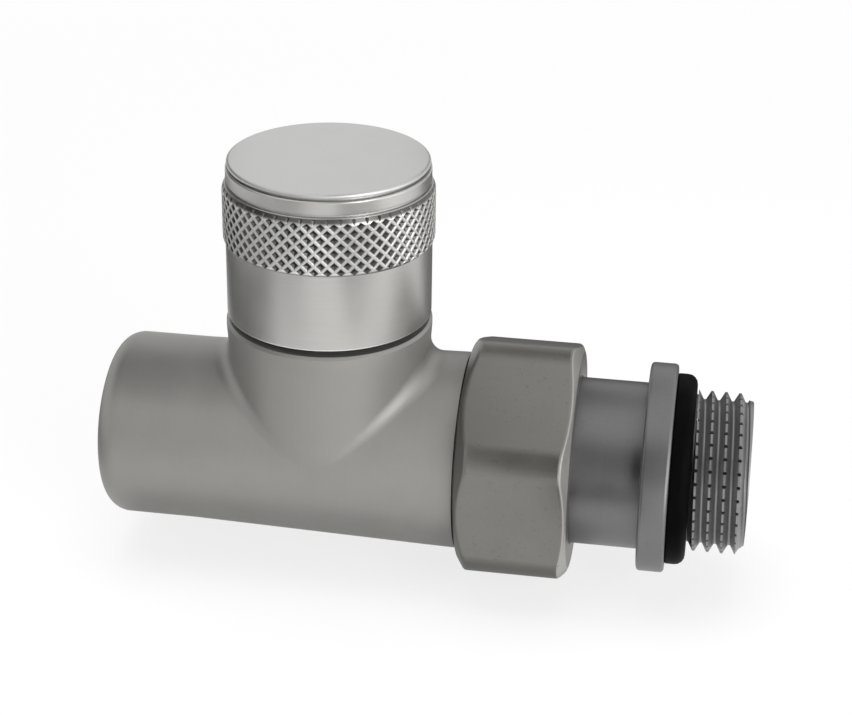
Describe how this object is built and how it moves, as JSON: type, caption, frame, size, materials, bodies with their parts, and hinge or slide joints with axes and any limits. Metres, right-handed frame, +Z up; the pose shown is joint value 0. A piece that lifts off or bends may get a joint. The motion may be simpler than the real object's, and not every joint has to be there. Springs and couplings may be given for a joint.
{
  "type": "radiator shut-off valve",
  "caption": "Straight radiator shut-off valve: a tee body with a turned, knurled knob, a hexagonal union nut and a threaded tail with a flange and a rubber ring.",
  "frame": {"origin": "on the tube axis, at the mouth of the inlet thread", "axes": "+X along the tube from the inlet to the tail, +Z up the spindle towards the knob"},
  "size_m": [0.0847, 0.0316, 0.057],
  "materials": {
    "satin_nickel_cast": "satin nickel plate on stamped brass",
    "satin_nickel_turned": "satin nickel plate on turned brass",
    "satin_nickel_hex": "satin nickel plate on a brass hexagon",
    "satin_nickel_tail": "satin nickel plate on turned brass",
    "brass": "turned, bare",
    "steel": "stainless, plain",
    "seal_rubber": "matte",
    "black_rubber": "smooth, slightly glossy"
  },
  "bodies": {
    "housing": {"valve_body": "satin_nickel_cast", "bonnet": "brass", "bonnet_o_ring": "seal_rubber", "gland_nut": "brass", "packing_washer": "steel", "stem_o_ring_lower": "seal_rubber", "stem_o_ring_upper": "seal_rubber"},
    "jumper": {"disc_holder": "brass", "seat_washer": "seal_rubber", "washer_nut": "brass"},
    "handwheel": {"spindle": "brass", "spindle_clip": "steel", "knob_shell": "satin_nickel_turned", "knob_insert": "brass", "knob_screw": "steel", "screw_washer": "steel", "knob_cap": "satin_nickel_turned", "cap_ring": "seal_rubber"},
    "tail": {"tailpiece": "satin_nickel_tail", "tail_o_ring": "seal_rubber", "tail_clip": "steel", "flange_seal": "black_rubber"},
    "nut": {"union_nut": "satin_nickel_hex"}
  },
  "joints": [
    {"name": "plug_lift", "type": "slide", "parent": "housing", "child": "jumper", "axis": [0, 0, 1], "range_m": [0, 0.0036]},
    {"name": "knob_turn", "type": "hinge", "parent": "jumper", "child": "handwheel", "pos_m": [0.0285, 0, 0.03], "axis": [0, 0, 1], "range_deg": [0, 864]},
    {"name": "tail_draw", "type": "slide", "parent": "housing", "child": "tail", "axis": [1, 0, 0], "range_m": [0, 0.00907]},
    {"name": "nut_turn", "type": "hinge", "parent": "tail", "child": "nut", "pos_m": [0.054, 0, 0], "axis": [1, 0, 0], "range_deg": [0, 1800]}
  ],
  "couplings": [
    {"joint": "plug_lift", "follows": "knob_turn", "m_per_rad": 0.00023873},
    {"joint": "tail_draw", "follows": "nut_turn", "m_per_rad": 0.0002887}
  ]
}
